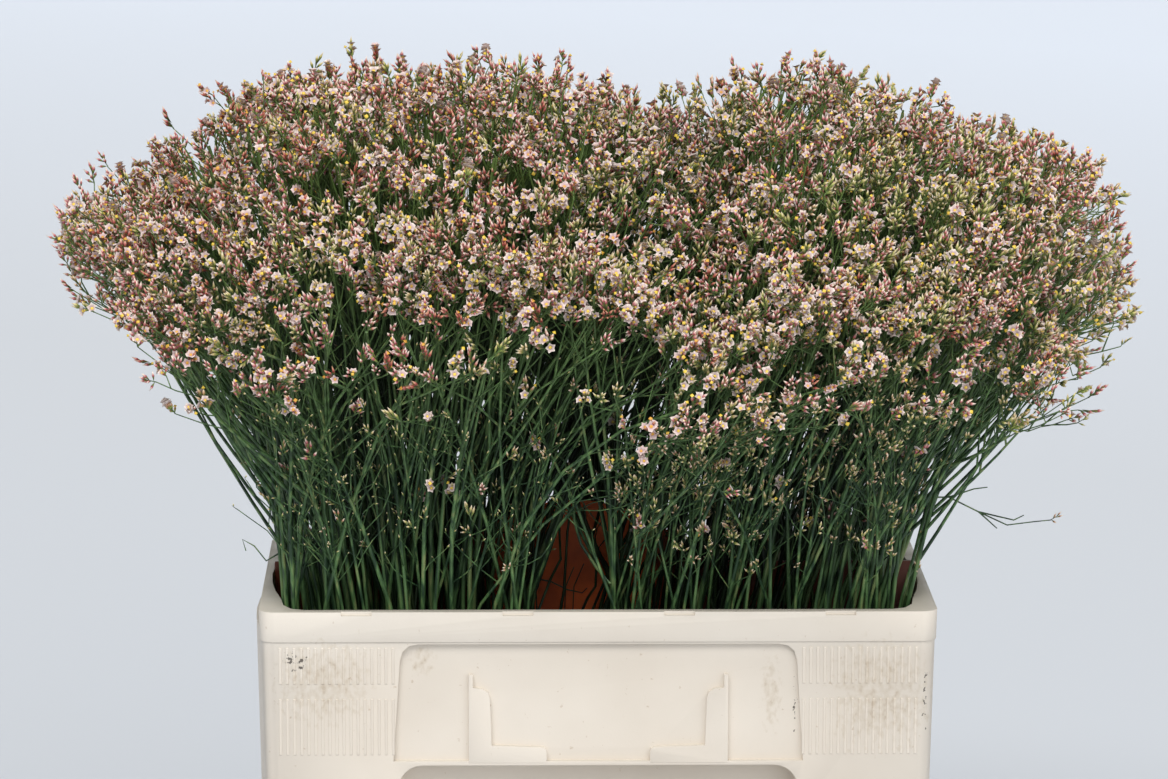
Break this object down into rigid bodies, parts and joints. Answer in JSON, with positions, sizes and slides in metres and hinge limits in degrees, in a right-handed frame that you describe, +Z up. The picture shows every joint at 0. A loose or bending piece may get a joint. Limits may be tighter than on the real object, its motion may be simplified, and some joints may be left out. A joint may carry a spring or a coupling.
{
  "type": "chinese statice in a flower crate",
  "caption": "Branching stems of chinese statice with small pale pink florets and red buds, standing upright in a tapered off-white plastic flower crate with a divider",
  "frame": {"origin": "middle of the crate's flat underside", "axes": "+Z up, +X along the crate's long side to the right as seen from the front, +Y from front to back"},
  "size_m": [0.6595, 0.4238, 0.6183],
  "materials": {
    "crate_plastic": "satin, stained",
    "divider_plastic": "satin",
    "stem": "matt, ridged",
    "flower": "papery"
  },
  "bodies": {
    "root": {"crate": "crate_plastic", "divider": "divider_plastic", "spray_01": "stem", "spray_02": "stem", "spray_03": "stem", "spray_04": "stem", "spray_05": "stem", "spray_06": "stem", "spray_07": "stem", "spray_08": "stem", "spray_09": "stem", "spray_10": "stem", "spray_11": "stem", "spray_12": "stem", "spray_13": "stem", "spray_14": "stem", "spray_15": "stem", "spray_16": "stem", "spray_17": "stem", "spray_18": "stem", "spray_19": "stem", "spray_20": "stem", "spray_21": "stem", "spray_22": "stem", "spray_23": "stem", "spray_24": "stem", "spray_25": "stem", "spray_26": "stem", "spray_27": "stem", "spray_28": "stem", "spray_29": "stem", "spray_30": "stem", "spray_31": "stem", "spray_32": "stem", "spray_33": "stem", "spray_34": "stem", "spray_35": "stem", "spray_36": "stem", "spray_37": "stem", "spray_38": "stem", "spray_39": "stem", "spray_40": "stem"}
  },
  "joints": []
}
